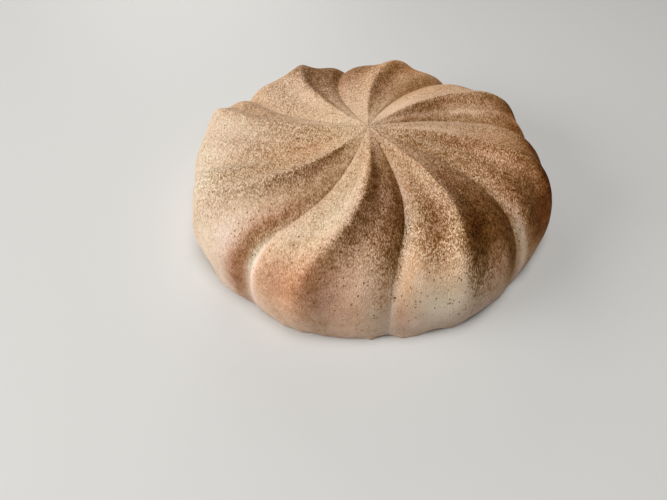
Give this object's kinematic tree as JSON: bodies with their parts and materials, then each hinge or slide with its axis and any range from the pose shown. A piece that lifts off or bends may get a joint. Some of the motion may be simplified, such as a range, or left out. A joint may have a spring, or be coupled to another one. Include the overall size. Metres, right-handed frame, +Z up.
{
  "type": "latte macchiato cake",
  "caption": "Low round mousse cake with curved folds swirling out from the middle of the top and a velvety cream coat dusted coffee brown, resting on its flat base.",
  "frame": {"origin": "centre of the flat base, where the cake rests", "axes": "+Z up from the base; -Y is the front side that the picture shows nearest; +X to the right seen from the front"},
  "size_m": [0.1786, 0.178, 0.0476],
  "materials": {
    "velvet_coat": "matt velvety spray coat, cream dusted with coffee brown"
  },
  "bodies": {
    "root": {"cake": "velvet_coat"}
  },
  "joints": []
}
